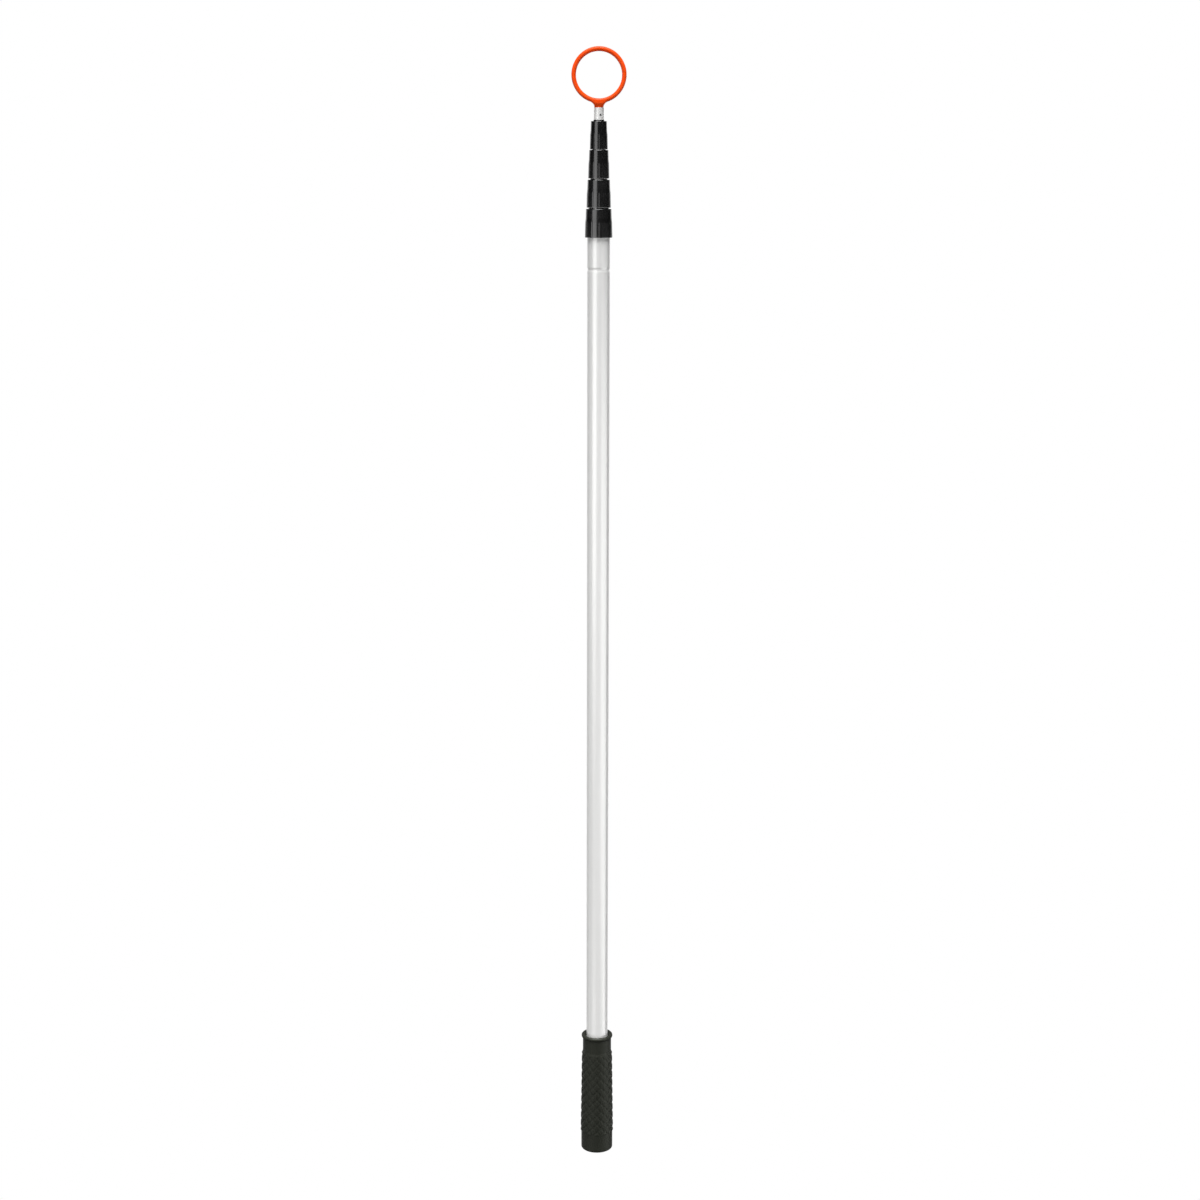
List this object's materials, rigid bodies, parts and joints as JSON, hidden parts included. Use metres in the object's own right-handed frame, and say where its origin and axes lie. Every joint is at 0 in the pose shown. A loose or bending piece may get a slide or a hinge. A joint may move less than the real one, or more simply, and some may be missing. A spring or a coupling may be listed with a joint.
{
  "type": "telescopic golf ball retriever",
  "caption": "Closed telescopic pole of nested alloy tubes with twist locks and black collars, a rubber hand grip, and an orange ring head that snaps over a ball.",
  "frame": {"origin": "centre of the butt's flat end", "axes": "+Z along the pole towards the ring; the ball passes through the ring along Y; the seen side faces -Y"},
  "size_m": [0.0504, 0.0322, 1.0788],
  "materials": {
    "grip_rubber": "moulded matt rubber with a raised lozenge texture",
    "plug_plastic": "moulded",
    "bumper_rubber": "soft cellular",
    "tube_alloy": "satin anodised, drawn lengthways",
    "collar_plastic": "glossy moulded",
    "lock_plastic": "natural moulded",
    "cam_plastic": "moulded",
    "ring_plastic": "semi-gloss moulded",
    "rivet_steel": "darkened"
  },
  "bodies": {
    "base": {"grip": "grip_rubber", "base_plug": "plug_plastic", "base_bumper": "bumper_rubber", "tube_1": "tube_alloy", "collar_1": "collar_plastic"},
    "lock_2": {"lock_cam_2": "cam_plastic"},
    "section_2": {"tube_2": "tube_alloy", "lock_core_2": "lock_plastic", "collar_2": "collar_plastic"},
    "lock_3": {"lock_cam_3": "cam_plastic"},
    "section_3": {"tube_3": "tube_alloy", "lock_core_3": "lock_plastic", "collar_3": "collar_plastic"},
    "lock_4": {"lock_cam_4": "cam_plastic"},
    "section_4": {"tube_4": "tube_alloy", "lock_core_4": "lock_plastic", "collar_4": "collar_plastic"},
    "lock_5": {"lock_cam_5": "cam_plastic"},
    "section_5": {"tube_5": "tube_alloy", "lock_core_5": "lock_plastic", "ring_head": "ring_plastic", "head_rivet": "rivet_steel"}
  },
  "joints": [
    {"name": "slide_2", "type": "slide", "parent": "base", "child": "lock_2", "axis": [0, 0, 1], "range_m": [0, 0.833]},
    {"name": "twist_2", "type": "hinge", "parent": "lock_2", "child": "section_2", "pos_m": [0, 0, 0.0345], "axis": [0, 0, 1], "range_deg": [-20, 20]},
    {"name": "slide_3", "type": "slide", "parent": "section_2", "child": "lock_3", "axis": [0, 0, 1], "range_m": [0, 0.8283]},
    {"name": "twist_3", "type": "hinge", "parent": "lock_3", "child": "section_3", "pos_m": [0, 0, 0.0665], "axis": [0, 0, 1], "range_deg": [-20, 20]},
    {"name": "slide_4", "type": "slide", "parent": "section_3", "child": "lock_4", "axis": [0, 0, 1], "range_m": [0, 0.8227]},
    {"name": "twist_4", "type": "hinge", "parent": "lock_4", "child": "section_4", "pos_m": [0, 0, 0.0985], "axis": [0, 0, 1], "range_deg": [-20, 20]},
    {"name": "slide_5", "type": "slide", "parent": "section_4", "child": "lock_5", "axis": [0, 0, 1], "range_m": [0, 0.8169]},
    {"name": "twist_5", "type": "hinge", "parent": "lock_5", "child": "section_5", "pos_m": [0, 0, 0.1305], "axis": [0, 0, 1], "range_deg": [-20, 20]}
  ]
}
